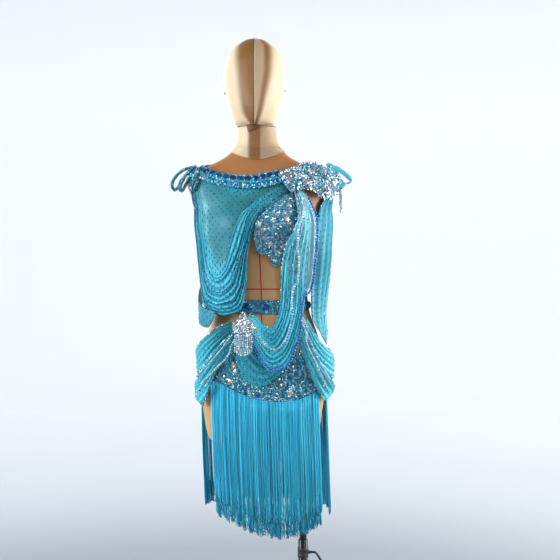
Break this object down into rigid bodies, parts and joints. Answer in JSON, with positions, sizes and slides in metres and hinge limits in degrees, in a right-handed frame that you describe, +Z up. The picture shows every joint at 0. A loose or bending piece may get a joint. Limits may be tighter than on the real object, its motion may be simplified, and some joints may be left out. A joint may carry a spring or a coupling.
{
  "type": "dance dress on dress form",
  "caption": "Draped salsa dance dress with stoned neckband, shoulder loops, sash, hip swags and long fringe skirt, on an armless dress form with head and a round stand",
  "frame": {"origin": "centre of the round base plate's underside, on the floor", "axes": "+Z up, the dress faces -Y, +X is to the right of someone facing its front"},
  "size_m": [0.4693, 0.39, 1.716],
  "materials": {
    "base_plate": "satin black",
    "blue_string": "pearl",
    "bodice_back": "sheer stretch mesh",
    "brooch": "cut crystal",
    "brooch_tassel": "cut crystal",
    "clamp_collar": "satin black",
    "clamp_lever": "gloss black",
    "cup_applique": "stoned stretch cloth",
    "foot_socket": "satin black",
    "form_head": "soft satin stretch cloth",
    "form_neck": "matte stretch cloth",
    "form_torso": "matte stretch cloth over a shell",
    "fringe_back_left": "rayon fringe",
    "fringe_back_middle": "rayon fringe",
    "fringe_back_right": "rayon fringe",
    "fringe_over_left": "rayon fringe",
    "fringe_over_middle": "rayon fringe",
    "fringe_over_right": "rayon fringe",
    "fringe_under_left": "rayon fringe",
    "fringe_under_middle": "rayon fringe",
    "fringe_under_right": "rayon fringe",
    "front_drape": "sheer stretch mesh",
    "hip_yoke_back": "stoned stretch cloth",
    "hip_yoke_front": "stoned stretch cloth",
    "inner_tube": "dark bright metal",
    "left_hip_string": "clear bead",
    "left_hip_swag_middle": "stoned stretch cloth",
    "left_hip_swag_upper": "stoned stretch cloth",
    "left_hip_tail": "sheer mesh",
    "left_loop_inner": "satin tube",
    "left_loop_middle": "satin tube",
    "left_loop_outer": "satin tube",
    "left_side_swag": "stoned stretch cloth",
    "left_tail": "sheer mesh",
    "lower_swag": "satin stretch cloth",
    "neckband": "stoned band",
    "outer_tube": "gloss black",
    "pearl_string": "pearl",
    "right_hip_string": "pearl",
    "right_hip_swag_lower": "stoned stretch cloth",
    "right_hip_swag_upper": "stoned stretch cloth",
    "right_loop_lower": "satin tube",
    "right_loop_outer": "satin tube",
    "right_loop_upper": "satin tube",
    "right_middle_drape": "satin with stones",
    "right_side_drape": "sheer satin",
    "sash": "satin stretch cloth",
    "shoulder_applique": "stoned stretch cloth",
    "shoulder_tassel": "silver beads",
    "waistband": "stoned band"
  },
  "bodies": {
    "stand": {"base_plate": "base_plate", "outer_tube": "outer_tube", "foot_socket": "foot_socket", "clamp_collar": "clamp_collar"},
    "form": {"blue_string": "blue_string", "bodice_back": "bodice_back", "brooch": "brooch", "brooch_tassel": "brooch_tassel", "cup_applique": "cup_applique", "form_head": "form_head", "form_neck": "form_neck", "form_torso": "form_torso", "fringe_back_left": "fringe_back_left", "fringe_back_middle": "fringe_back_middle", "fringe_back_right": "fringe_back_right", "fringe_over_left": "fringe_over_left", "fringe_over_middle": "fringe_over_middle", "fringe_over_right": "fringe_over_right", "fringe_under_left": "fringe_under_left", "fringe_under_middle": "fringe_under_middle", "fringe_under_right": "fringe_under_right", "front_drape": "front_drape", "hip_yoke_back": "hip_yoke_back", "hip_yoke_front": "hip_yoke_front", "inner_tube": "inner_tube", "left_hip_string": "left_hip_string", "left_hip_swag_middle": "left_hip_swag_middle", "left_hip_swag_upper": "left_hip_swag_upper", "left_hip_tail": "left_hip_tail", "left_loop_inner": "left_loop_inner", "left_loop_middle": "left_loop_middle", "left_loop_outer": "left_loop_outer", "left_side_swag": "left_side_swag", "left_tail": "left_tail", "lower_swag": "lower_swag", "neckband": "neckband", "pearl_string": "pearl_string", "right_hip_string": "right_hip_string", "right_hip_swag_lower": "right_hip_swag_lower", "right_hip_swag_upper": "right_hip_swag_upper", "right_loop_lower": "right_loop_lower", "right_loop_outer": "right_loop_outer", "right_loop_upper": "right_loop_upper", "right_middle_drape": "right_middle_drape", "right_side_drape": "right_side_drape", "sash": "sash", "shoulder_applique": "shoulder_applique", "shoulder_tassel": "shoulder_tassel", "waistband": "waistband"},
    "lever": {"clamp_lever": "clamp_lever"}
  },
  "joints": [
    {"name": "height_slide", "type": "slide", "parent": "stand", "child": "form", "axis": [0, 0, 1], "range_m": [-0.03, 0.15]},
    {"name": "clamp_turn", "type": "hinge", "parent": "stand", "child": "lever", "pos_m": [0.1218, 0, 0.384], "axis": [1, 0, 0], "range_deg": [-90, 90]}
  ]
}
